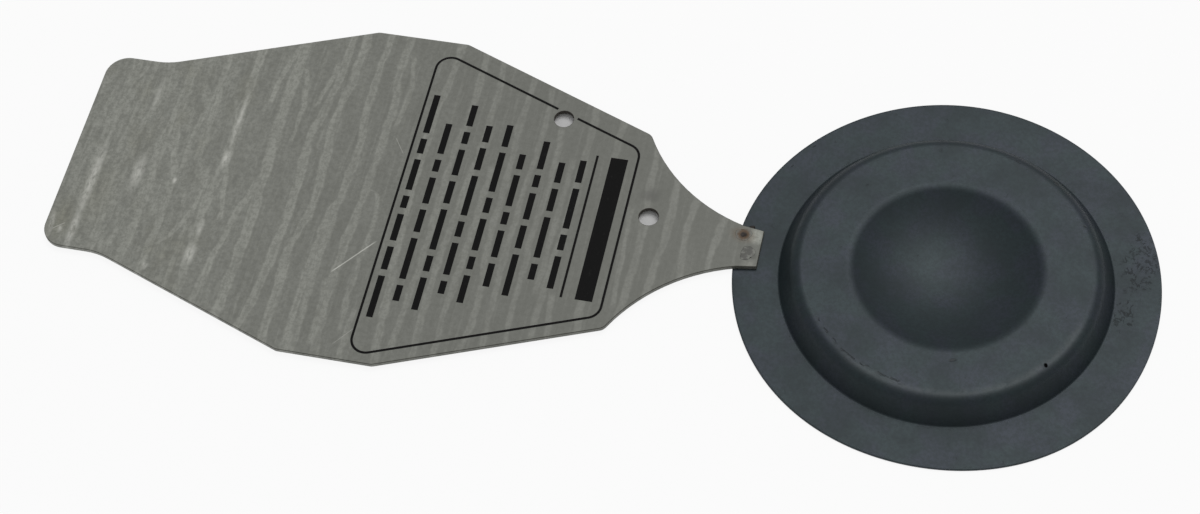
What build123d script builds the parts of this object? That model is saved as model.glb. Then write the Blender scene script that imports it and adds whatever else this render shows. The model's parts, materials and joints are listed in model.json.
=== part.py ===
from build123d import *

import os
from math import atan, degrees, hypot, radians, tan

# A bursting disc for a two-inch angular-seat holder, with its identification tag welded to the rim.
# Frame: the disc's axis is Z, the flange's underside lies in Z = 0, and the tag runs out along -X.
# All lengths are in millimetres and all angles in degrees.

# Formed disc: one sheet, pressed up into a crown and down again into a bowl
sheet = 0.5  # thickness of the disc's metal
flange_radius = 35.5
seat_radius = 27.7  # where the seat's upper face leaves the flange
seat_slope = 60.0  # from the flange's plane, which makes a 30-degree angular seat about the axis
crown_rise = 4.25  # from the flange up to the flat of the crown
shoulder_bend = 2.4  # upper face, where the seat turns into the crown
lip_bend = 3.5  # upper face, where the crown turns into the bowl
bowl_mouth = 15.8  # where the bowl's sphere would cut the crown's plane
bowl_depth = 4.2  # from the crown's plane to the bowl's floor
rim_break = 0.1  # left on the sheared rim

# Tag: a flat blank, symmetrical about its length, with half-widths from its centre line
tag_thickness = 0.8
tag_lap = 4.3  # how far the tag's neck reaches in over the flange
neck_length = 3.5
neck_end_half = 3.6
neck_half = 4.1
flare_length = 19.3
flare_radius = 31.0
shoulder_half = 19.7
front_taper_length = 36.4
body_half = 33.4
body_length = 16.7
rear_taper_length = 36.1
tail_half = 20.3
tail_length = 10.8
tail_corner = 4.0
tail_blend = 12.0  # hollow corner between the tail and its taper
blank_corner = 1.8  # the other outward corners
edge_break = 0.1

# Two round holes through the tag, from its neck end and from its centre line
hole_radius = 1.75
wire_hole = (19.85, 3.0)
lacing_hole = (38.65, 20.4)

# Spot welds between the neck and the flange, from the neck end and from the centre line
weld_places = [(3.3, 2.3), (2.0, -1.2)]
electrode_radius = 1.1
electrode_depth = 0.12
electrode_taper = 45.0  # slope of a pocket's wall
bead_radius = 0.6
bead_height = 0.18

# Print on the tag: a framed panel of plain bars
ink = 0.03
stroke = 0.42
print_shift = -0.7  # the print sits a little off the tag's centre line
panel_start = 23.8  # from the neck end
panel_length = 40.15
panel_inset = 2.8  # from the front taper's edge
panel_corner = 2.8
ink_gap = 0.3  # bare metal left beside a hole that the panel's line meets
heading_gap = 1.5
heading_height = 3.0
heading_length = 29.0
rule_gap = 2.4
row_gap = 1.6
row_pitch = 3.58
row_height = 1.15
row_count = 9
row_margins = (7.5, 10.0)  # bare ends of the rows, in turn
word_lengths = (6.4, 3.1, 8.2, 4.6, 5.4, 2.5)
word_space = 1.3

# Heights and places that follow from these
crown_top = sheet + crown_rise
bowl_floor = crown_top - bowl_depth
shoulder_radius = seat_radius - crown_rise / tan(radians(seat_slope))
tag_top = sheet + tag_thickness
neck_end = -(flange_radius - tag_lap)
neck_start = neck_end - neck_length
front_shoulder = neck_start - flare_length
body_front = front_shoulder - front_taper_length
body_rear = body_front - body_length
tail_start = body_rear - rear_taper_length
tail_end = tail_start - tail_length
hole_places = [(neck_end - along, across) for along, across in (wire_hole, lacing_hole)]
weld_points = [(neck_end - along, across) for along, across in weld_places]

# The section is the sheet's upper face from the rim to the axis, with a sharp foot at the seat and its
# other bends rounded from the outside inwards, thickened downwards by the sheet: a bend's two faces
# share a centre.
with BuildPart() as rupture_disc:
    with BuildSketch(Plane.XZ) as section:
        with BuildLine() as upper_face:
            Polyline(
                (flange_radius, sheet),
                (seat_radius, sheet),
                (shoulder_radius, crown_top),
                (bowl_mouth, crown_top),
            )
            TangentArc((0, bowl_floor), (bowl_mouth, crown_top), tangent=(1, 0))
            for corner, bend in ((2, shoulder_bend), (1, lip_bend)):
                fillet(upper_face.vertices().sort_by(Axis.X)[corner], bend)
            offset(amount=sheet, kind=Kind.INTERSECTION, side=Side.LEFT)
        make_face()
        chamfer(section.vertices().group_by(Axis.X)[-1], rim_break)
    revolve(axis=Axis.Z)
rupture_disc.part.label = "rupture_disc"

# The blank is drawn as one half, from the neck's end round to the tail, and mirrored. The neck flares
# into the shoulder on an arc. The electrodes leave flat-bottomed pockets in the neck.
with BuildPart() as tag:
    with BuildSketch(Plane.XY.offset(sheet)) as blank:
        with BuildLine():
            Polyline((neck_end, 0), (neck_end, neck_end_half), (neck_start, neck_half))
            RadiusArc((neck_start, neck_half), (front_shoulder, shoulder_half), flare_radius)
            Polyline(
                (front_shoulder, shoulder_half),
                (body_front, body_half),
                (body_rear, body_half),
                (tail_start, tail_half),
                (tail_end, tail_half),
                (tail_end, 0),
            )
            mirror(about=Plane.XZ)
        make_face()
        across = blank.vertices().group_by(Axis.X)
        fillet(across[0], tail_corner)
        fillet(blank.vertices().filter_by(lambda v: abs(v.X - tail_start) < edge_break), tail_blend)
        for station in (body_rear, body_front, front_shoulder):
            fillet(blank.vertices().filter_by(lambda v: abs(v.X - station) < edge_break), blank_corner)
        with Locations(*hole_places):
            Circle(hole_radius, mode=Mode.SUBTRACT)
    extrude(amount=tag_thickness)
    outline = tag.faces().sort_by(Axis.Z)[-1].outer_wire().edges()
    chamfer(outline, edge_break)
    with BuildSketch(Plane.XY.offset(tag_top)):
        with Locations(*weld_points):
            Circle(electrode_radius)
    extrude(amount=-electrode_depth, taper=electrode_taper, mode=Mode.SUBTRACT)
tag.part.label = "tag"

# One bead of melted metal stands in each pocket.
with BuildPart() as weld_beads:
    with BuildSketch(Plane.XY.offset(tag_top - electrode_depth)):
        with Locations(*weld_points):
            Circle(bead_radius)
    extrude(amount=bead_height)
    chamfer(weld_beads.edges().group_by(Axis.Z)[-1], bead_height / 2)
weld_beads.part.label = "weld_beads"

# The print's panel keeps the same distance from the front taper all along, so its sides run parallel
# to the tag's, and its rows of bars lie square across it. The panel's line stops square on either side
# of a hole that it meets.
panel_front = neck_end - panel_start
panel_rear = panel_front - panel_length
taper_rise = (body_half - shoulder_half) / front_taper_length
taper_angle = degrees(atan(taper_rise))
ink_window = 2 * (hole_radius + ink_gap)


def panel_half(x):
    """Half of the panel's height at x, from the taper's edge and the panel's inset."""
    edge_half = shoulder_half + (front_shoulder - x) * taper_rise
    return edge_half - panel_inset * hypot(1, taper_rise)


def row_words(x, row):
    """The bars of one row as (x, y, length): words in turn until the row between its margins is full."""
    end = panel_half(x) - row_margins[row % len(row_margins)]
    start, word, bars = -end, row, []
    while start < end - word_lengths[-1]:
        length = min(word_lengths[word % len(word_lengths)], end - start)
        bars.append((x, print_shift + start + length / 2, length))
        start += length + word_space
        word += 1
    return bars


heading_x = panel_front - stroke - heading_gap - heading_height / 2
rule_x = heading_x - heading_height / 2 - rule_gap
first_row_x = rule_x - row_gap - row_height / 2
bars = []
for row in range(row_count):
    bars += row_words(first_row_x - row * row_pitch, row)

with BuildPart() as tag_print:
    with BuildSketch(Plane.XY.offset(tag_top)) as panel:
        Polygon(
            (panel_front, print_shift - panel_half(panel_front)),
            (panel_front, print_shift + panel_half(panel_front)),
            (panel_rear, print_shift + panel_half(panel_rear)),
            (panel_rear, print_shift - panel_half(panel_rear)),
            align=None,
        )
        fillet(panel.vertices(), panel_corner)
        offset(amount=-stroke, mode=Mode.SUBTRACT)
        for x, y in hole_places:
            with Locations(Location((x, y, 0), (0, 0, -taper_angle))):
                Rectangle(ink_window, ink_window, mode=Mode.SUBTRACT)
        with Locations((heading_x, print_shift)):
            Rectangle(heading_height, heading_length)
        with Locations((rule_x, print_shift)):
            Rectangle(stroke, heading_length)
        for x, y, length in bars:
            with Locations((x, y)):
                Rectangle(row_height, length)
    extrude(amount=ink)
tag_print.part.label = "tag_print"

os.makedirs("parts", exist_ok=True)
export_step(rupture_disc.part, "parts/rupture_disc.step")
export_step(tag.part, "parts/tag.step")
export_step(weld_beads.part, "parts/weld_beads.step")
export_step(tag_print.part, "parts/tag_print.step")
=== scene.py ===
"""Looks of a bursting disc and its identification tag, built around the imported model.

The file is laid out as an add-on and is run as a script. The formed disc, the weld metal and the drop
of spatter are new surfaces, each worked out on a grid of two parameters; the tag and its print keep
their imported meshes. Lengths are in metres, but the materials and their tables are in millimetres.
"""

import functools
import json
import math

import bpy
import numpy as np
from bpy.props import FloatProperty, FloatVectorProperty, PointerProperty
from bpy.types import Operator, Panel, PropertyGroup
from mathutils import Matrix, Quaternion, Vector


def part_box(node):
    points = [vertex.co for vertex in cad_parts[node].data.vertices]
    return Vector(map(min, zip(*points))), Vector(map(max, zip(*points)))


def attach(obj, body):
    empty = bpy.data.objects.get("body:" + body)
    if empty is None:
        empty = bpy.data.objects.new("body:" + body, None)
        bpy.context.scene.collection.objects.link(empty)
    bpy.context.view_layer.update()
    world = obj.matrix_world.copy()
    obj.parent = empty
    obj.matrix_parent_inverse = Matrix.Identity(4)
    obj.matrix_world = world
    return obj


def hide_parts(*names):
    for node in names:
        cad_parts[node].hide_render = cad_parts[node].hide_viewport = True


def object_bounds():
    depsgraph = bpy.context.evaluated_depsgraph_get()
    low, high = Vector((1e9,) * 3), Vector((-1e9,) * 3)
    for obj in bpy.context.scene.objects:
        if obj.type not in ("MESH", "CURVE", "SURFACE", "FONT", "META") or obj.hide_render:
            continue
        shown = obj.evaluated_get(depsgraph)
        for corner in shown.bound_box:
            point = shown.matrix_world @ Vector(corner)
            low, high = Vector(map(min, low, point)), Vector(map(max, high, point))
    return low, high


bl_info = {
    "name": "Bursting Disc",
    "version": (1, 0, 0),
    "blender": (4, 5, 0),
    "location": "View3D > Sidebar > Disc",
    "description": "Builds the finish of a bursting disc and its welded tag",
    "category": "Object",
}

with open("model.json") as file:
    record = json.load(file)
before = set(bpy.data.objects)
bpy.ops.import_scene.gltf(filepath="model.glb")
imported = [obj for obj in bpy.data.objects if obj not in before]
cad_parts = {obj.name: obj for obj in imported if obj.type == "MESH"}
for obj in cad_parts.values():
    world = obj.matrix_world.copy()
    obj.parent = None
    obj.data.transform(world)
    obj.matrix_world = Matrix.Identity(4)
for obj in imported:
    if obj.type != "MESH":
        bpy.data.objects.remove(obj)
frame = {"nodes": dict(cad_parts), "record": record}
cad_bounds = [list(corner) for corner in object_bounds()]
disc_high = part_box("rupture_disc")[1]
tag_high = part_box("tag")[1]
bead_low, bead_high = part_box("weld_beads")

BODY = "root"
MM = 0.001
BEAD_RADIUS = 0.0006
# The middles of the burnt weld and the grey one, from the box of the two beads that they replace.
BURNT_SPOT = (bead_low.x + BEAD_RADIUS, bead_high.y - BEAD_RADIUS)
GREY_SPOT = (bead_high.x - BEAD_RADIUS, bead_low.y + BEAD_RADIUS)

# The tables from here on are in millimetres and degrees. A hole is its middle's x and y and its radius.
HOLES = [
    (mount["pos_m"][0] / MM, mount["pos_m"][1] / MM, mount["dims"]["r_mm"])
    for mount in frame["record"]["mounts"]
    if mount["name"] in ("wire_hole", "lacing_hole")
]
# The tag's pale streaks: half the width, then the (x, y) points that each runs through, from its lower end
# up.
STREAKS = (
    (0.65, (-148.7, -22), (-148.7, -12), (-149.4, 2), (-148.6, 12), (-149.7, 22)),
    (0.3, (-148.2, 14.5), (-146.4, 20.5)),
    (0.35, (-146.2, 0), (-145.4, 17)),
    (0.55, (-144.5, -22), (-144.6, 0), (-142.8, 10), (-142.0, 15), (-142.6, 22)),
    (0.7, (-139.2, -23), (-138.4, -8), (-138.9, 2), (-138.2, 12), (-138.0, 23)),
    (0.55, (-134.8, -25), (-134.4, -12), (-134.5, -5), (-136.2, 2), (-137.8, 9)),
    (0.3, (-133.9, -2), (-133.6, 9), (-132.4, 17)),
    (0.45, (-131.8, 2), (-131.8, 10), (-132.3, 18), (-132.7, 27)),
    (0.35, (-133.2, -17), (-130.0, -11), (-128.2, -2)),
    (0.35, (-129.6, -27), (-129.2, -12)),
    (0.7, (-127.0, -28), (-127.3, -5), (-126.6, 3), (-126.9, 16), (-126.9, 29)),
    (0.35, (-124.0, -10), (-126.0, 0)),
    (0.5, (-124.0, -28), (-122.0, -12), (-119.8, -2)),
    (0.35, (-122.4, 15), (-121.8, 21), (-120.2, 28)),
    (0.8, (-119.7, -31), (-118.7, -18), (-118.8, -3), (-119.4, 8), (-119.3, 31)),
    (0.3, (-116.2, 8), (-116.4, 16), (-117.8, 23)),
    (0.65, (-115.8, -32), (-113.2, -20), (-112.6, 0), (-113.2, 7), (-111.8, 18), (-111.2, 34)),
    (0.35, (-113.8, 16), (-112.4, 25)),
    (0.65, (-109.4, -35), (-110.3, -16), (-108.8, -3), (-109.8, 15), (-108.8, 23), (-109.0, 35)),
    (0.6, (-104.4, -35), (-104.6, -5), (-104.0, 5), (-104.8, 20), (-104.1, 35)),
    (0.5, (-105.8, -35), (-105.8, -10), (-104.8, -3)),
    (0.6, (-99.2, -35), (-101.2, -18), (-100.4, 0), (-100.2, 18), (-101.1, 26), (-101.0, 35)),
    (0.35, (-101.6, -31), (-102.4, -19)),
    (0.35, (-97.4, -28), (-97.8, -15), (-97.3, -8), (-99.4, 0)),
    (0.35, (-98.6, 14), (-98.3, 22), (-99.6, 29)),
    (0.4, (-96.2, -35), (-96.0, -24)),
    (0.55, (-89.8, -35), (-91.2, -20), (-92.4, 0), (-92.5, 17), (-91.5, 27), (-91.5, 35)),
    (0.45, (-88.2, -30), (-87.2, -8), (-87.3, 8), (-86.4, 20), (-86.7, 34)),
    (0.5, (-84.0, -33), (-84.4, -16), (-83.6, 0), (-82.8, 14), (-82.5, 22), (-83.2, 31)),
    (0.45, (-80.3, -32), (-80.9, -22), (-80.4, -12), (-80.0, 8)),
    (0.5, (-77.6, -29), (-75.8, -19), (-76.8, -8), (-76.8, 8), (-77.1, 17), (-76.7, 28)),
    (0.4, (-72.8, -28), (-73.5, -12), (-73.3, 5), (-72.9, 16), (-73.2, 26)),
    (0.4, (-69.6, -26), (-69.8, -5), (-69.3, 10), (-69.6, 18)),
    (0.4, (-66.6, -15), (-66.3, 12)),
    (0.5, (-65.6, -24), (-65.4, -14), (-64.6, 4), (-64.5, 24)),
    (0.45, (-62.8, -24), (-63.9, -15)),
    (0.5, (-57.9, -23), (-58.6, -16), (-59.4, 12), (-59.3, 22)),
    (0.35, (-53.4, -15), (-54.3, 4)),
    (0.5, (-52.2, -18), (-51.5, -8), (-51.3, 0), (-52.1, 9), (-52.2, 17)),
    (0.55, (-48.7, -14), (-47.9, -4), (-47.3, 4), (-47.9, 11)),
    (0.5, (-43.1, -10), (-44.0, 0), (-43.4, 8)),
    (0.5, (-39.5, -7), (-39.0, -1), (-38.1, 5)),
)
# Rubbed patches on the tag: a strength from 0 to 1, then what Finish.spot takes, which is the spot's
# middle, its half sizes and, where they aren't the usual ones, its softness and turn.
RUBBED = (
    (1.0, -148.8, -6.5, 1.2, 12.0),
    (1.0, -148.8, -16.5, 1.0, 6.0),
    (0.8, -126.7, 10.5, 0.6, 9.0),
    (1.0, -126.6, 2.0, 1.1, 3.0),
    (0.9, -127.0, -18.0, 1.5, 3.0),
    (0.8, -126.8, -12.5, 0.8, 2.4),
    (0.8, -141.2, -3.5, 1.6, 5.5),
    (0.5, -142.8, 13.5, 0.8, 5.0),
    (1.0, -134.2, -4.0, 0.7, 1.0),
    (1.0, -134.0, -21.6, 0.8, 1.0),
    (0.8, -152.9, -16.0, 0.7, 3.2, 1.0, 8.0),
    (0.8, -151.1, -17.0, 0.7, 1.2),
)
# Scratches on the tag: a strength, then the two ends and half the width, as Finish.line takes them.
TAG_SCRATCHES = (
    (1.0, (-102.2, -17.6), (-95.6, -9.6), 0.17),
    (0.5, (-98.2, 11.6), (-95.9, 8.3), 0.1),
    (0.4, (-98.0, -31.0), (-94.6, -26.6), 0.1),
    (0.8, (-152.6, -17.4), (-150.4, -15.6), 0.12),
)
# Scratches round the disc's shoulder: the radius, the two bearings and half the width, for Finish.arc.
SHOULDER_SCRATCHES = (
    (23.5, -147.0, -115.0, 0.2),
    (23.3, -117.0, -100.0, 0.24),
    (24.2, 64.0, 76.0, 0.2),
    (25.0, 42.0, 53.0, 0.2),
)
# Nicks in the coat, as Finish.spot takes them.
NICKS = (
    (3.4, -17.5, 0.9, 0.35, 0.6, 20.0),
    (21.3, 11.6, 0.5, 0.3),
    (-26.0, 22.7, 0.5, 0.25, 0.8, 40.0),
    (-29.0, 18.0, 0.5, 0.2, 0.8, 55.0),
)


def a_length(name, description, default):
    """A length property in metres."""
    return FloatProperty(
        name=name, description=description, default=default, subtype="DISTANCE", unit="LENGTH"
    )


def an_angle(name, description, degrees):
    """An angle property, given in degrees."""
    return FloatProperty(
        name=name, description=description, default=math.radians(degrees), subtype="ANGLE", unit="ROTATION"
    )


def an_amount(name, description, default, high=1.0):
    """A plain number from zero to high."""
    return FloatProperty(name=name, description=description, default=default, min=0.0, max=high)


def a_colour(name, description, default):
    """A linear colour."""
    return FloatVectorProperty(
        name=name, description=description, default=default, size=3, min=0.0, max=1.0, subtype="COLOR"
    )


class DiscSettings(PropertyGroup):
    """Sizes and colours of the formed disc."""

    sheet: a_length("Sheet", "Thickness of the disc's metal", 0.0005)
    seat_radius: a_length("Seat radius", "Foot of the conical seat", 0.0277)
    seat_slope: an_angle("Seat slope", "Slope of the seat from the flange", 60)
    root_bend: a_length("Root bend", "Bend at the foot of the seat", 0.0003)
    shoulder_bend: a_length("Shoulder bend", "Bend from the seat to the crown", 0.0024)
    lip_bend: a_length("Lip bend", "Bend from the crown to the bowl", 0.0035)
    bowl_mouth: a_length("Bowl mouth", "Radius where the bowl's sphere cuts the crown's plane", 0.0158)
    bowl_depth: a_length("Bowl depth", "From the crown's plane to the bowl's floor", 0.0042)
    rim_round: a_length("Rim rounding", "Rounding of the sheared rim", 0.0001)
    rim_wave: a_length("Rim wave", "How far the hand-cut rim strays from its circle", 0.00018)
    coat: a_colour("Coat", "Slate coat of the disc", (0.0199, 0.034, 0.0388))
    coat_blue: a_colour("Blue coat", "Coat in its bluer patches", (0.0239, 0.0321, 0.045))
    coat_dark: a_colour("Dark coat", "Coat in its darker patches and grain", (0.0132, 0.0222, 0.026))
    # Painted highlight: this lighter colour is laid along the shoulder on the camera's side.
    worn: a_colour("Worn", "Coat rubbed along the shoulder", (0.075, 0.085, 0.088))
    mark: a_colour("Mark", "Scuffs and scratches", (0.012, 0.015, 0.017))
    fleck: a_colour("Fleck", "One black fleck on the shoulder", (0.001, 0.001, 0.001))
    roughness: an_amount("Roughness", "Roughness of the coat", 0.48)
    metal: an_amount("Metal", "How far the coat shines as metal does", 0.4)


class TagSettings(PropertyGroup):
    """Colours of the tag."""

    metal: a_colour("Metal", "Stained metal between the streaks, at the tail", (0.3, 0.306, 0.274))
    front: a_colour("Front", "Stained metal towards the neck", (0.172, 0.176, 0.157))
    dark: a_colour("Dark", "Darker stain and grain", (0.13, 0.133, 0.115))
    streak: a_colour("Streak", "Pale streaks at the tail", (0.56, 0.57, 0.51))
    front_streak: a_colour("Front streak", "Pale streaks towards the neck", (0.3, 0.305, 0.275))
    worn: a_colour("Worn", "Rubbed patches and scratches", (0.8, 0.8, 0.74))
    yellow: a_colour("Yellow", "Yellowed stain at the tail", (0.25, 0.245, 0.185))
    grime: a_colour("Grime", "Grime by the hole and at the pinched spots", (0.1, 0.1, 0.09))
    scorch: a_colour("Scorch", "Brown scorch round the first weld", (0.13, 0.085, 0.045))
    # This colour is also laid on the hole walls and in a band just under the cut edge, as painted shade.
    burnt: a_colour("Burnt", "Burnt rim of the first weld", (0.02, 0.012, 0.006))
    roughness: an_amount("Roughness", "Roughness of the tag", 0.5)
    shine: an_amount("Shine", "How far the stained metal shines as metal does", 0.25)


class PrintSettings(PropertyGroup):
    """Colour of the print."""

    ink: a_colour("Ink", "Black stamping ink", (0.004, 0.004, 0.004))
    thin: a_colour("Thin ink", "Ink where it is thin", (0.03, 0.03, 0.028))
    roughness: an_amount("Roughness", "Roughness of the ink", 0.6)


class WeldSettings(PropertyGroup):
    """Colours and sizes of the spot welds."""

    spread: a_length("Spread", "Mean radius of a weld's metal", 0.00128)
    crown: a_length("Crown", "How far a weld's metal stands over the tag", 0.00006)
    pocket: a_length("Pocket", "Depth of an electrode's pocket in the tag", 0.00012)
    crater: a_length("Crater", "Depth of the burnt crater in the first weld", 0.00012)
    drop: a_length("Drop", "Radius of the drop that spat onto the flange", 0.0004)
    drop_place: FloatVectorProperty(
        name="Drop place", description="Where the drop lies on the flange",
        default=(-0.0334, 0.0044), size=2, subtype="XYZ", unit="LENGTH",
    )
    burnt: a_colour("Burnt", "Burnt core of the first weld", (0.012, 0.007, 0.004))
    scorch: a_colour("Scorch", "Brown scorch on the first weld", (0.1, 0.06, 0.03))
    pale: a_colour("Pale", "Weld metal beyond the scorch", (0.185, 0.187, 0.168))
    grey: a_colour("Grey", "Darker metal of the second weld", (0.105, 0.105, 0.095))


class StageSettings(PropertyGroup):
    """Camera and levels of light."""

    elevation: an_angle("Elevation", "Camera's height above the horizon", 57.888)
    azimuth: an_angle("Azimuth", "Camera's turn about the upright", 18.424)
    roll: an_angle("Roll", "Camera's turn about its own axis", -7.086)
    distance: a_length("Distance", "From the camera to the point that it aims at", 0.40526)
    aim: FloatVectorProperty(
        name="Aim", description="Point on the floor's plane that the camera looks at",
        default=(-0.05776, -0.00555, 0.0), size=3, subtype="XYZ", unit="LENGTH",
    )
    lens: FloatProperty(name="Lens", description="Focal length in millimetres", default=71.784, min=1.0)
    key: an_amount("Key", "Share of the light from the overhead softbox", 0.47, 3.0)
    fill: an_amount("Fill", "Share of the light from the surroundings", 0.4, 3.0)


class Field:
    """A number that varies over a surface: a socket whose arithmetic adds Math nodes."""

    def __init__(self, finish, socket):
        self.finish = finish
        self.socket = socket

    def math(self, operation, *others):
        """This value and the others through one Math node."""
        inputs = dict(enumerate((self, *others)))
        return self.finish.add("ShaderNodeMath", {"operation": operation}, inputs).out(0)

    def __add__(self, other):
        return self.math("ADD", other)

    __radd__ = __add__

    def __mul__(self, other):
        return self.math("MULTIPLY", other)

    __rmul__ = __mul__

    def __sub__(self, other):
        return self.math("SUBTRACT", other)

    def __rsub__(self, other):
        return (self * -1.0).math("ADD", other)

    def __truediv__(self, other):
        return self.math("DIVIDE", other)

    def __abs__(self):
        return self.math("ABSOLUTE")

    def step(self, low, high):
        """Smooth rise from 0 at low to 1 at high, or a fall where high is the lower."""
        return self.finish.add(
            "ShaderNodeMapRange",
            {"interpolation_type": "SMOOTHSTEP"},
            {"Value": self, "From Min": low, "From Max": high},
        ).out("Result")

    def over(self, other):
        """The larger of the two."""
        return self.math("MAXIMUM", other)


def strongest(fields):
    """The largest of several fields at each place."""
    return functools.reduce(Field.over, fields)


class Node:
    """A shader node, with its outputs as fields."""

    def __init__(self, finish, node):
        self.finish = finish
        self.node = node

    def out(self, name):
        return Field(self.finish, self.node.outputs[name])


class Finish:
    """One material: its Principled shader, its Object coordinates in millimetres and its node maker."""

    def __init__(self, name):
        self.material = bpy.data.materials.new(name)
        self.material.use_nodes = True
        self.tree = self.material.node_tree
        self.tree.nodes.clear()
        shader = self.add("ShaderNodeBsdfPrincipled")
        self.shader = shader.node
        self.output = self.add("ShaderNodeOutputMaterial", None, {"Surface": shader.out("BSDF")}).node
        place = self.add("ShaderNodeTexCoord").out("Object")
        axes = self.add("ShaderNodeSeparateXYZ", None, {"Vector": place})
        self.x = axes.out("X") * (1 / MM)
        self.y = axes.out("Y") * (1 / MM)
        self.z = axes.out("Z") * (1 / MM)

    def add(self, kind, settings=None, values=None):
        """A node of that kind: its settings first, then the value or link of each socket named."""
        node = self.tree.nodes.new(kind)
        for name, value in (settings or {}).items():
            setattr(node, name, value)
        for name, value in (values or {}).items():
            self.feed(node.inputs[name], value)
        return Node(self, node)

    def feed(self, socket, value):
        """Links a field to a socket, or sets the socket's own value."""
        if isinstance(value, Field):
            self.tree.links.new(value.socket, socket)
        elif socket.type == "RGBA":
            socket.default_value = (*value, 1.0)
        else:
            socket.default_value = value

    def set(self, **values):
        """Feeds the Principled shader's sockets, whose names have an underscore for each space here."""
        for name, value in values.items():
            self.feed(self.shader.inputs[name.replace("_", " ")], value)

    def vector(self, x, y, z=0.0):
        """Three fields or numbers as one vector."""
        return self.add("ShaderNodeCombineXYZ", None, {"X": x, "Y": y, "Z": z}).out("Vector")

    def noise(self, x, y, z=0.0, detail=2.0, rough=0.5, warp=0.0):
        """Noise from 0 to 1 whose cells are about one unit of x, y and z across. A plain number for z
        picks one slice of it, so that two noises of a finish don't follow each other."""
        values = {"Vector": self.vector(x, y, z), "Scale": 1.0}
        values |= {"Detail": detail, "Roughness": rough, "Distortion": warp}
        return self.add("ShaderNodeTexNoise", None, values).out("Fac")

    def mix(self, share, first, second):
        """A colour between two, by a field from 0 to 1: sockets 0, 6, 7 and 2 are the colour ones."""
        values = {0: share, 6: first, 7: second}
        return self.add("ShaderNodeMix", {"data_type": "RGBA"}, values).out(2)

    def spot(self, x, y, half_x, half_y, soft=1.0, turn=0.0):
        """1 in the middle of an ellipse at x, y in millimetres, down to 0 at its edge: soft is the share
        of the way in over which it falls, and turn is in degrees."""
        cos, sin = math.cos(math.radians(turn)), math.sin(math.radians(turn))
        across, along = self.x - x, self.y - y
        u = (across * cos + along * sin) / half_x
        v = (along * cos - across * sin) / half_y
        return (u * u + v * v).math("SQRT").step(1.0, 1.0 - soft)

    def curve(self, along, points):
        """The value, at a field's place, of a smooth curve through (value, place) points of rising place.
        The node's curve lies in a unit square, so places and values are both scaled to it."""
        values, places = zip(*points)
        margin = 0.5
        low, high = min(values) - margin, max(values) + margin
        start, reach = places[0], places[-1] - places[0]
        curve = self.add("ShaderNodeFloatCurve", None, {"Value": (along - start) / reach})
        dots = curve.node.mapping.curves[0].points
        scaled = [((place - start) / reach, (value - low) / (high - low)) for value, place in points]
        dots[0].location, dots[1].location = scaled[0], scaled[-1]
        for dot in scaled[1:-1]:
            dots.new(*dot)
        curve.node.mapping.update()
        return curve.out("Value") * (high - low) + low

    def line(self, start, end, half_width):
        """1 on a straight scratch between two points in millimetres, 0 half its width away."""
        (x0, y0), (x1, y1) = start, end
        run, rise = x1 - x0, y1 - y0
        far = math.hypot(run, rise)
        along = ((self.x - x0) * (run / far) + (self.y - y0) * (rise / far)) / far
        aside = abs((self.x - x0) * (-rise / far) + (self.y - y0) * (run / far))
        ends = along.step(0.0, 0.15) * along.step(1.0, 0.85)
        return aside.step(half_width, 0.0) * ends

    def arc(self, radius, start, end, half_width, wobble):
        """1 on a scratch round the axis from one bearing to another in degrees, 0 half its width away.
        A noise from 0 to 1 makes it stray from its radius."""
        stray = (wobble - 0.5) * 1.2  # millimetres
        bearing = self.y.math("ARCTAN2", self.x) * math.degrees(1.0)
        off = abs((self.x * self.x + self.y * self.y).math("SQRT") - radius + stray)
        middle, half = (start + end) / 2, (end - start) / 2
        return off.step(half_width, 0.0) * abs(bearing - middle).step(half, half * 0.8)

    def bump(self, height, depth_mm):
        """Normals of a relief: a field from 0 to 1 times a depth."""
        relief = {"Height": height * (depth_mm * MM), "Distance": 1.0, "Strength": 1.0}
        self.set(Normal=self.add("ShaderNodeBump", None, relief).out("Normal"))


def surface(name, points, quads, fans, finish):
    """A smooth mesh object at the origin from arrays of points, of four-sided faces and of triangles."""
    mesh = bpy.data.meshes.new(name)
    mesh.from_pydata(points.tolist(), [], quads.tolist() + fans.tolist())
    mesh.polygons.foreach_set("use_smooth", np.ones(len(mesh.polygons), bool))
    mesh.materials.append(finish)
    mesh.update()
    piece = bpy.data.objects.new(name, mesh)
    bpy.context.scene.collection.objects.link(piece)
    return piece


def dress(node, finish):
    """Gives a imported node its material."""
    mesh = frame["nodes"][node].data
    mesh.materials.clear()
    mesh.materials.append(finish)


def joined(first, second):
    """Two (points, quads, fans) shells as one: the second's faces count on from the first's points."""
    points, quads, fans = second
    start = len(first[0])
    return tuple(np.concatenate(pair) for pair in zip(first, (points, quads + start, fans + start)))


def bearings(count):
    """That many bearings, evenly spaced round the axis."""
    return np.linspace(0, 2 * math.pi, count, endpoint=False)


def ripple(turn, lobes):
    """The sum over the lobes of size cos(n turn - lean), a lobe being its n, size and lean in radians."""
    return sum(size * np.cos(n * turn - lean) for n, size, lean in lobes)


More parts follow.
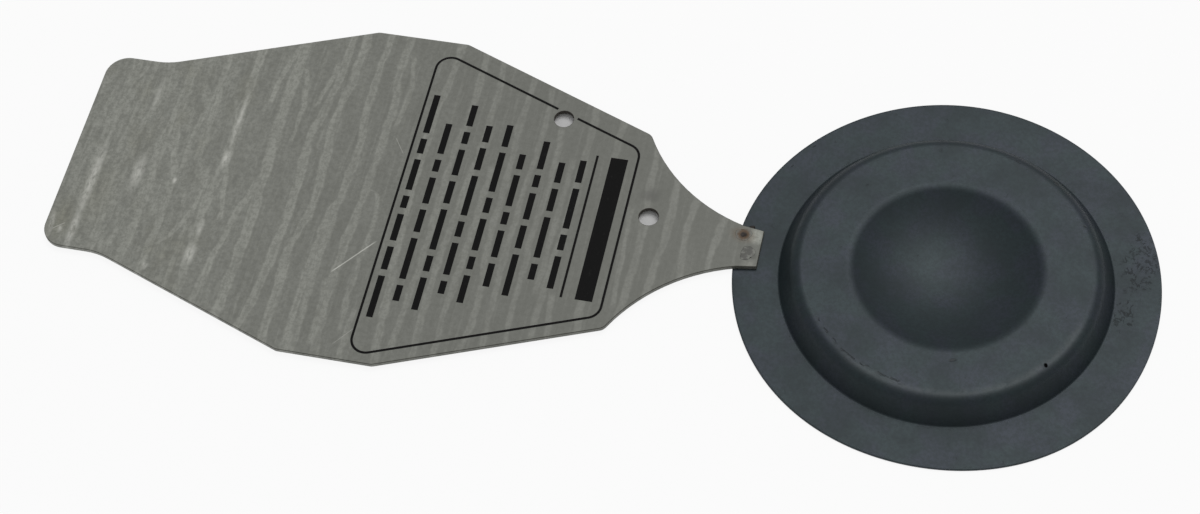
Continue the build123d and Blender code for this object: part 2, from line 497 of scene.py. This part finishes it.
def lathe(radius, height, turn, axis=(0.0, 0.0)):
    """Points, quads and fans of a closed section turned about the upright axis at an x and y.

    radius and height hold one row per turn angle and one column per section point, and run from the
    axis above to the axis below. A point is the axis's plus (radius cos turn, radius sin turn, height).
    The first and last columns are the two poles, each one point with a fan of triangles.
    """
    turns, count = radius.shape
    ring = np.stack([radius * np.cos(turn)[:, None], radius * np.sin(turn)[:, None], height], -1)
    poles = np.array([[0.0, 0.0, height[:, 0].mean()], [0.0, 0.0, height[:, -1].mean()]])
    points = np.concatenate([ring[:, 1:-1].reshape(-1, 3), poles]) + np.array([*axis, 0.0])
    inner = count - 2
    here = np.arange(turns)[:, None] * inner + np.arange(inner)
    beside = np.roll(here, -1, 0)
    quads = np.stack([here[:, :-1], here[:, 1:], beside[:, 1:], beside[:, :-1]], -1).reshape(-1, 4)
    top = np.full(turns, turns * inner)
    fan_above = np.stack([top, here[:, 0], beside[:, 0]], -1)
    fan_below = np.stack([top + 1, beside[:, -1], here[:, -1]], -1)
    return points, quads, np.concatenate([fan_above, fan_below])


def stations(lengths, counts):
    """Places along a run of pieces, in arc length, and each piece's start: a piece has its count of
    steps and a close step at either end, so that shading turns only where the sheet bends."""
    ease = 0.04  # share of a piece that its close step takes
    starts = np.concatenate([[0.0], np.cumsum(lengths)])
    runs = []
    for start, size, count in zip(starts, lengths, counts):
        inner = np.linspace(ease, 1 - ease, count)
        runs.append(start + size * np.concatenate([[0.0], inner]))
    return np.concatenate([*runs, starts[-1:]]), starts


def disc_section(disc):
    """The disc's section as (radius, height) from the axis above, round the rim, to the axis below.

    Seen from the rim inwards, the upper face is a run of straights and arcs, so its slope is piecewise
    linear in arc length; radius and height are the running sums of the slope's cosine and sine. The
    lower face is the upper one moved in along its normal by the sheet's thickness.
    """
    rim_radius, crown_top = disc_high.x, disc_high.z
    rise = crown_top - disc.sheet
    slope = disc.seat_slope
    sphere = (disc.bowl_mouth**2 + disc.bowl_depth**2) / (2 * disc.bowl_depth)
    drop = sphere - disc.bowl_depth + disc.lip_bend
    lip_radius = math.sqrt((sphere + disc.lip_bend) ** 2 - drop**2)
    lip_slope = math.acos(drop / (sphere + disc.lip_bend))
    root_cut = disc.root_bend * math.tan(slope / 2)
    shoulder_cut = disc.shoulder_bend * math.tan(slope / 2)
    shoulder_radius = disc.seat_radius - rise / math.tan(slope)
    lengths = [
        rim_radius - disc.rim_round - disc.seat_radius - root_cut,
        disc.root_bend * slope,
        rise / math.sin(slope) - root_cut - shoulder_cut,
        disc.shoulder_bend * slope,
        shoulder_radius - shoulder_cut - lip_radius,
        disc.lip_bend * lip_slope,
        sphere * lip_slope,
    ]
    slopes = [0, 0, slope, slope, 0, 0, -lip_slope, 0]
    steps = (8, 5, 8, 14, 10, 12, 36)
    places, starts = stations(lengths, steps)
    fine_steps = 20000
    fine = np.linspace(0, starts[-1], fine_steps + 1)
    heading = np.interp(fine, starts, slopes)
    step = np.diff(fine)
    middle = (heading[1:] + heading[:-1]) / 2
    run = np.concatenate([[0], np.cumsum(np.cos(middle) * step)])
    climb = np.concatenate([[0], np.cumsum(np.sin(middle) * step)])
    radius = rim_radius - disc.rim_round - np.interp(places, fine, run)
    height = disc.sheet + np.interp(places, fine, climb)
    radius[-1] = 0.0
    tilt = np.interp(places, starts, slopes)
    under_radius = radius - disc.sheet * np.sin(tilt)
    under_height = height - disc.sheet * np.cos(tilt)
    under_radius[-1] = 0.0
    turn = np.linspace(math.pi / 2, -math.pi / 2, 9)[1:-1]  # round the rim's edge, from top to bottom
    core = disc.sheet / 2 - disc.rim_round
    side = np.sign(np.round(np.sin(turn), 9))  # 1 above the sheet's middle, 0 at it, -1 below
    edge_radius = rim_radius - disc.rim_round + disc.rim_round * np.cos(turn)
    edge_height = disc.sheet / 2 + core * side + disc.rim_round * np.sin(turn)
    return (
        np.concatenate([radius[::-1], edge_radius, under_radius]),
        np.concatenate([height[::-1], edge_height, under_height]),
    )


def flange_scuffs(f):
    """Short strokes where the flange has been handled: the broken contour lines of a noise."""
    rubbed = f.noise(f.x / 1.3, f.y / 1.5, 5.0, detail=3.0, rough=0.6, warp=0.8)
    patchy = f.noise(f.x / 2.4, f.y / 2.4, 17.0, detail=2.0)
    broken = f.noise(f.x / 1.2, f.y / 1.2, 14.0).step(0.42, 0.56)
    handled = f.spot(31.2, 8.4, 3.8, 8.5).over(f.spot(29.6, -1.5, 2.6, 6.0) * 0.7)
    return abs(rubbed - 0.5).step(0.06, 0.015) * broken * (handled + patchy - 0.5).step(0.1, 0.35)


def coat_finish(disc):
    """Matt slate coat: cloudy patches, fine grain, a painted highlight along the near shoulder, scuffs,
    scratches and one fleck.
    """
    f = Finish("slate_coat")
    cloud = f.noise(f.x / 8.0, f.y / 8.0, 3.0, detail=3.0, rough=0.6)
    tint = f.noise(f.x / 6.0, f.y / 6.0, 21.0)
    grain = f.noise(f.x / 0.65, f.y / 0.65, f.z / 0.65, detail=3.0, rough=0.8)
    wobble = f.noise(f.x / 1.3, f.y / 1.3, 8.0, detail=3.0, rough=0.7)
    broken = f.noise(f.x / 1.6, f.y / 1.6, 12.0, detail=2.0).step(0.42, 0.55)
    scuffs = flange_scuffs(f)
    nicks = strongest(f.spot(*nick) for nick in NICKS)
    scratches = strongest(f.arc(*scratch, wobble) for scratch in SHOULDER_SCRATCHES) * broken
    scratches = scratches.over(nicks)
    fleck = f.spot(18.1, -15.8, 0.42, 0.56, 0.5, 20.0)
    # Painted highlight: a lighter band along the shoulder from -132 to -12 degrees, the side that faces the
    # camera, broken up by a noise.
    worn = f.arc(24.1, -132.0, -12.0, 1.3, wobble) * wobble.step(0.2, 0.55)
    colour = f.mix(tint.step(0.42, 0.6), disc.coat, disc.coat_blue)
    colour = f.mix(cloud.step(0.4, 0.7) * 0.7, colour, disc.coat_dark)
    colour = f.mix(grain.step(0.4, 0.6) * 0.6, colour, disc.coat_dark)
    colour = f.mix(worn * 0.3, colour, disc.worn)
    colour = f.mix((scuffs * 0.65).over(scratches * 0.7), colour, disc.mark)
    f.set(
        Base_Color=f.mix(fleck, colour, disc.fleck),
        Roughness=0.1 * cloud + 0.06 * grain + 0.12 * scuffs + (disc.roughness - 0.08),
        Metallic=fleck * (1.0 - disc.metal) + disc.metal,
    )
    f.bump(grain * 0.5 + cloud * 1.5 - scuffs * 0.8 - scratches * 3.0, 0.012)
    return f.material


def streak_depth(f, x, waist, half_width, points):
    """How far inside a streak a place lies, in millimetres and negative outside: the streak runs along
    a smooth curve, its width follows the waist field, and it tapers off at its two ends."""
    aside = abs(x - f.curve(f.y, points))
    middle, reach = (points[0][1] + points[-1][1]) / 2, (points[-1][1] - points[0][1]) / 2
    tip = (reach - abs(f.y - middle)) * 0.3
    return (waist * half_width - aside).math("MINIMUM", tip)


def tag_streaks(f):
    """How far inside the nearest streak a place lies: a slow noise on x makes the streaks waver and
    another makes their widths swell and shrink."""
    x = f.x + f.noise(f.x / 3.0, f.y / 4.0, 0.0, detail=2.0) * 1.2 - 0.6
    waist = f.noise(f.x / 3.0, f.y / 7.0, 9.0, detail=1.0) * 1.3 + 0.4
    return strongest(streak_depth(f, x, waist, half_width, points) for half_width, *points in STREAKS)


def streaked_metal(f, tag, streaks, border):
    """Colour of the stained metal, paler towards the tail, with its streaks, thin lines and blotches."""
    tail = f.x.step(-118.0, -132.0)
    forward = f.x.step(-156.0, -60.0)
    blotch = f.noise(f.x / 2.0, f.y / 4.0, 30.0, detail=4.0, rough=0.65).step(0.42, 0.68) * tail
    cloud = f.noise(f.x / 7.0, f.y / 12.0, 40.0, detail=3.0, rough=0.6)
    thin = f.noise(f.x / 0.7, f.y / 16.0, 80.0, detail=2.0).step(0.5, 0.72)
    strength = f.x.step(-60.0, -105.0) * f.x.step(-152.0, -122.0) * 0.14 + 0.28
    share = ((streaks + border * 0.2) * strength).over(blotch * 0.3).over(thin * 0.16)
    yellow = strongest((
        f.spot(-151.5, -15.0, 3.5, 7.0),
        f.spot(-147.0, -9.0, 5.0, 11.0) * 0.5,
        tail * cloud.step(0.5, 0.75) * 0.6,
    ))
    colour = f.mix(cloud.step(0.3, 0.75) * 0.3, f.mix(forward, tag.metal, tag.front), tag.dark)
    colour = f.mix(f.x.step(-75.0, -45.0) * 0.3, colour, tag.dark)
    colour = f.mix(share, colour, f.mix(forward, tag.streak, tag.front_streak))
    return f.mix(yellow * 0.5, colour, tag.yellow)


def tag_finish(tag):
    """Stained metal: wavy pale streaks across the tag, which fork and meet, rubbed patches, scratches,
    grime by a hole, and the scorched and pinched spots of the welds."""
    f = Finish("streaked_tag")
    depth = tag_streaks(f)
    stain = f.noise(f.x / 2.2, f.y / 6.0, 70.0, detail=2.0, rough=0.6).step(0.15, 0.75)
    streaks = depth.step(-0.35, 0.25) * (stain * 0.6 + 0.5)
    border = depth.step(-0.2, 0.0) * depth.step(0.35, 0.1)
    grain = f.noise(f.x / 0.9, f.y / 0.9, 0.0, detail=4.0, rough=0.8)
    fibre = f.noise(f.x / 0.9, f.y / 7.0, 50.0, detail=3.0, rough=0.7)
    ragged = f.noise(f.x / 0.7, f.y / 1.6, 60.0, detail=3.0, rough=0.7)

    rubbed = strongest(f.spot(*spot) * strength for strength, *spot in RUBBED) * ragged.step(0.26, 0.6)
    scratches = strongest(f.line(*scratch) * strength for strength, *scratch in TAG_SCRATCHES)
    burnt_x, burnt_y = BURNT_SPOT[0] / MM, BURNT_SPOT[1] / MM
    halo = f.spot(burnt_x - 0.1, burnt_y - 0.1, 3.0, 2.0, 1.0, -10.0) * ragged.step(0.1, 0.5)
    core = f.spot(burnt_x, burnt_y, 0.85, 0.75, 0.5)
    pinch = f.spot(-33.9, -1.4, 1.1, 0.8, 1.0).over(f.spot(-32.3, -1.6, 0.9, 0.8, 1.0))
    smudge = pinch * ragged.step(0.35, 0.6)
    grime = f.spot(-51.6, 7.3, 2.6, 2.2)
    pale_end = f.spot(-32.2, 2.3, 1.9, 2.2, 0.7).over(f.spot(-32.6, -3.3, 1.6, 1.2) * 0.5)
    face = tag_high.z / MM
    # Painted shade: a dark line round the cut edge, just under the face, and dark walls in the holes.
    edge = f.z.step(face - 0.004, face - 0.04) * f.z.step(face - 0.13, face - 0.08)
    inside = strongest(f.spot(x, y, radius * 1.04, radius * 1.04, 0.03) for x, y, radius in HOLES)

    colour = f.mix(pale_end * 0.5, streaked_metal(f, tag, streaks, border), tag.streak)
    colour = f.mix(fibre.step(0.35, 0.7) * 0.3, colour, tag.dark)
    colour = f.mix(grain.step(0.42, 0.6) * 0.4, colour, tag.dark)
    # Painted shade on the hole walls and under the cut edge.
    colour = f.mix((inside * 0.9).over(edge * 0.7), colour, tag.burnt)
    colour = f.mix((rubbed * 0.6).over(scratches * 0.55), colour, tag.worn)
    colour = f.mix((smudge * 0.7).over(grime * 0.75), colour, tag.grime)
    colour = f.mix(halo * 0.75, colour, tag.scorch)
    f.set(
        Base_Color=f.mix(core, colour, tag.burnt),
        Roughness=0.08 * grain - 0.08 * streaks - 0.1 * rubbed + (tag.roughness - 0.04),
        Metallic=tag.shine,
    )
    f.bump(grain * 0.6 + fibre * 0.5 - scratches * 3.0 - pinch * 10.0 - core * 6.0, 0.006)
    return f.material


def ink_finish(ink):
    """Black ink, thin in places, so that the metal's grain shows through it."""
    f = Finish("black_ink")
    thin = f.noise(f.x / 0.6, f.y / 1.5, 0.0, detail=4.0, rough=0.7)
    f.set(
        Base_Color=f.mix(thin.step(0.55, 0.8) * 0.5, ink.ink, ink.thin),
        Roughness=0.15 * thin + (ink.roughness - 0.07),
        Specular_IOR_Level=0.1,
    )
    return f.material


def weld_finish(weld):
    """Weld metal: burnt black-brown at the first spot and in the drop, dull grey at the second."""
    f = Finish("burnt_weld")
    patch = f.noise(f.x / 1.1, f.y / 0.8, f.z / 0.8, detail=4.0, rough=0.6)
    rough_edge = f.noise(f.x / 0.5, f.y / 0.5, 3.0, detail=3.0, rough=0.7)
    across, along = f.x - BURNT_SPOT[0] / MM, f.y - BURNT_SPOT[1] / MM
    reach = (across * across + along * along).math("SQRT") + rough_edge * 0.8
    on_tag = f.z.step(1.0, 1.1)  # the drop lies lower, on the flange
    grey = f.y.step(1.0, 0.6) * on_tag
    scorched = f.mix(reach.step(0.75, 1.15), weld.burnt, weld.scorch)
    colour = f.mix(on_tag, weld.burnt, f.mix(reach.step(1.1, 1.8), scorched, weld.pale))
    greyed = f.mix(patch.step(0.42, 0.56), weld.pale, weld.grey)
    f.set(Base_Color=f.mix(grey, colour, greyed), Roughness=0.2 * patch + 0.45, Metallic=0.2)
    f.bump(patch, 0.03)
    return f.material


class DISC_OT_formed_disc(Operator):
    """Build the pressed disc with its slate coat"""

    bl_idname = "disc.formed_disc"
    bl_label = "Formed Disc"

    def execute(self, context):
        disc = context.scene.disc_settings
        section_radius, section_height = disc_section(disc)
        turn = bearings(288)
        # The flange strays from its circle by the ripple of these lobes, which fades towards the seat.
        lobes = (
            (1, 0.5, math.radians(-12)),
            (3, 1.0, math.radians(-131)),
            (4, 0.5, math.radians(166)),
            (5, 0.4, math.radians(106)),
        )
        flange = disc_high.x - disc.seat_radius
        share = np.clip((section_radius - disc.seat_radius) / flange, 0, 1) ** 2
        radius = section_radius + disc.rim_wave * ripple(turn, lobes)[:, None] * share
        height = np.broadcast_to(section_height, radius.shape)
        piece = surface("formed_disc", *lathe(radius, height, turn), coat_finish(disc))
        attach(piece, BODY)
        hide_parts("rupture_disc")
        return {"FINISHED"}


class DISC_OT_tag(Operator):
    """Give the tag its stained, streaked metal"""

    bl_idname = "disc.tag"
    bl_label = "Tag"

    def execute(self, context):
        dress("tag", tag_finish(context.scene.tag_settings))
        return {"FINISHED"}


class DISC_OT_print(Operator):
    """Give the print its ink"""

    bl_idname = "disc.print"
    bl_label = "Print"

    def execute(self, context):
        dress("tag_print", ink_finish(context.scene.print_settings))
        return {"FINISHED"}


def weld_blob(weld, place, crown, crater, lobes):
    """The shell of one weld's metal, which fills an electrode's pocket and laps over its edge.

    Its outline is R(t) = spread (1 + the ripple of its lobes). At a share s of R it stands
    crown (1 - s^2) - crater exp(-(s / 0.4)^2) over the tag, times 1 + 0.3 cos(4 t + lean) sin(pi s)^2,
    where lean is the first lobe's. Underneath it steps down from the tag's face into the pocket.
    """
    turn = bearings(64)
    outline = weld.spread * (1 + ripple(turn, lobes))
    above = np.linspace(0, 1, 17)
    under = np.array([0.98, 0.88, 0.74, 0.4, 0.0])
    share = np.concatenate([above, under])
    face = tag_high.z
    rise = crown * (1 - above**2) - crater * np.exp(-((above / 0.4) ** 2))
    swell = 1 + 0.3 * np.cos(4 * turn + lobes[0][2])[:, None] * np.sin(math.pi * above) ** 2
    low = np.where(under > 0.8, face, face - weld.pocket * 0.97)
    height = np.concatenate([face + rise * swell, np.broadcast_to(low, (len(turn), len(low)))], 1)
    return lathe(outline[:, None] * share, height, turn, place)


class DISC_OT_welds(Operator):
    """Build the metal of the two spot welds"""

    bl_idname = "disc.welds"
    bl_label = "Welds"

    def execute(self, context):
        weld = context.scene.weld_settings
        burnt_lobes = ((2, 0.1, 0.6), (3, 0.07, 2.0), (5, 0.04, 1.0))
        grey_lobes = ((2, 0.14, 2.2), (3, 0.1, 0.4), (7, 0.05, 3.0))
        burnt = weld_blob(weld, BURNT_SPOT, weld.crown, weld.crater, burnt_lobes)
        grey = weld_blob(weld, GREY_SPOT, weld.crown / 2, 0.0, grey_lobes)
        piece = surface("weld_metal", *joined(burnt, grey), weld_finish(weld))
        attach(piece, BODY)
        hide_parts("weld_beads")
        return {"FINISHED"}


def fallen_drop(weld, flange):
    """The shell of a drop on the flange's face: a flattened ball cut off flat below its middle.

    Its outline is R(t) = drop (1 + the ripple of one lobe). At an angle a above its middle it stands
    (sin a - sin lowest) drop / 2 over the flange, R cos a from its own axis.
    """
    turn = bearings(32)
    lowest = -math.pi / 6
    lift = np.linspace(math.pi / 2, lowest, 15)
    share = np.append(np.cos(lift), 0.0)
    share[0] = 0.0
    rise = np.append(np.sin(lift), math.sin(lowest))
    outline = weld.drop * (1 + ripple(turn, ((2, 0.2, 0.5),)))
    radius = outline[:, None] * share
    height = flange + weld.drop / 2 * (rise - math.sin(lowest))
    return lathe(radius, np.broadcast_to(height, radius.shape), turn, weld.drop_place)


class DISC_OT_spatter(Operator):
    """Build the drop of weld metal that spat onto the flange beside the tag"""

    bl_idname = "disc.spatter"
    bl_label = "Spatter"

    def execute(self, context):
        weld = context.scene.weld_settings
        drop = fallen_drop(weld, context.scene.disc_settings.sheet)
        piece = surface("weld_spatter", *drop, weld_finish(weld))
        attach(piece, BODY)
        return {"FINISHED"}


class DISC_OT_stage(Operator):
    """Set the floor, the surroundings, the softbox and the camera"""

    bl_idname = "disc.stage"
    bl_label = "Stage"

    def execute(self, context):
        stage = context.scene.stage_settings
        self.floor()
        self.surroundings(context.scene, stage.fill)
        self.softbox(stage.key)
        self.camera(context.scene, stage)
        context.scene.view_settings.view_transform = "Standard"
        return {"FINISHED"}

    def floor(self):
        """A pale plane just under the part, with its soft shadow: nearly white to the camera and in
        reflections, and a plain pale grey for all other light. Under the tag's holes it does not glow and
        is a darker grey, painted shade, so that the holes show dark."""
        half, gap = 3.0, 0.00005
        low = cad_bounds[0][2] - gap
        mesh = bpy.data.meshes.new("floor")
        corners = [(-half, -half, low), (half, -half, low), (half, half, low), (-half, half, low)]
        mesh.from_pydata(corners, [], [(0, 1, 2, 3)])
        floor = bpy.data.objects.new("floor", mesh)
        bpy.context.scene.collection.objects.link(floor)
        f = Finish("pale_floor")
        rays = f.add("ShaderNodeLightPath")
        seen = strongest(rays.out(f"Is {kind} Ray") for kind in ("Camera", "Glossy", "Transmission"))
        white = {"Color": (1.0, 1.0, 1.0), "Strength": 1.0}
        glow = f.add("ShaderNodeEmission", None, white).out("Emission")
        own = Field(f, f.shader.outputs["BSDF"])
        under_hole = strongest(f.spot(x, y, radius * 2, radius * 2, 0.2) for x, y, radius in HOLES)
        # Painted shade: the floor's grey is darker under the tag's holes.
        f.set(Base_Color=f.mix(under_hole, (0.9, 0.9, 0.9), (0.7, 0.7, 0.7)), Roughness=0.9)
        share = (1.0 - under_hole) * 0.9
        out = f.add("ShaderNodeMixShader", None, {0: seen * share, 1: own, 2: glow}).out("Shader")
        f.feed(f.output.inputs["Surface"], out)
        mesh.materials.append(f.material)

    def surroundings(self, scene, level):
        """An even grey world."""
        world = bpy.data.worlds.new("surroundings")
        world.use_nodes = True
        sky = world.node_tree.nodes["Background"]
        sky.inputs["Color"].default_value = (1.0, 1.0, 1.0, 1.0)
        sky.inputs["Strength"].default_value = level
        scene.world = world

    def softbox(self, level):
        """A square lamp overhead, set back and tilted to face the part. A lamp of power P at a height h
        lights a white floor below it to a brightness of P / (pi h)^2."""
        height, back, aside, side = 1.5, 0.66, 0.17, 0.9
        lamp = bpy.data.lights.new("softbox", "AREA")
        lamp.shape = "SQUARE"
        lamp.size = side
        lamp.energy = level * (math.pi * height) ** 2
        holder = bpy.data.objects.new("softbox", lamp)
        holder.location = (aside, back, height)
        holder.rotation_euler = (-math.atan2(back, height), 0.0, 0.0)
        bpy.context.scene.collection.objects.link(holder)

    def camera(self, scene, stage):
        """Stands off the aim point along the view's direction, rolled about it."""
        turn, lift = stage.azimuth, stage.elevation
        data = bpy.data.cameras.new("camera")
        data.sensor_width = 36.0
        data.lens = stage.lens
        data.clip_start = 0.01
        camera = bpy.data.objects.new("camera", data)
        back = (math.sin(turn) * math.cos(lift), -math.cos(turn) * math.cos(lift), math.sin(lift))
        camera.location = [at + stage.distance * way for at, way in zip(stage.aim, back)]
        camera.rotation_mode = "QUATERNION"
        look = (-Vector(back)).to_track_quat("-Z", "Y")
        camera.rotation_quaternion = look @ Quaternion((0, 0, 1), stage.roll)
        scene.collection.objects.link(camera)
        scene.camera = camera


class DISC_PT_panel(Panel):
    """Buttons for each piece and the stage"""

    bl_label = "Bursting Disc"
    bl_space_type = "VIEW_3D"
    bl_region_type = "UI"
    bl_category = "Disc"

    def draw(self, context):
        for operator in OPERATORS:
            self.layout.operator(operator.bl_idname)


SETTINGS = {
    "disc_settings": DiscSettings,
    "tag_settings": TagSettings,
    "print_settings": PrintSettings,
    "weld_settings": WeldSettings,
    "stage_settings": StageSettings,
}
OPERATORS = (DISC_OT_formed_disc, DISC_OT_tag, DISC_OT_print, DISC_OT_welds, DISC_OT_spatter, DISC_OT_stage)


def register():
    for name, group in SETTINGS.items():
        bpy.utils.register_class(group)
        setattr(bpy.types.Scene, name, PointerProperty(type=group))
    for item in (*OPERATORS, DISC_PT_panel):
        bpy.utils.register_class(item)


def unregister():
    for item in (DISC_PT_panel, *reversed(OPERATORS)):
        bpy.utils.unregister_class(item)
    for name, group in reversed(SETTINGS.items()):
        delattr(bpy.types.Scene, name)
        bpy.utils.unregister_class(group)


def main():
    """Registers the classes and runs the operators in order."""
    register()
    bpy.ops.disc.formed_disc()
    bpy.ops.disc.tag()
    bpy.ops.disc.print()
    bpy.ops.disc.welds()
    bpy.ops.disc.spatter()
    bpy.ops.disc.stage()


if __name__ == "__main__":
    main()
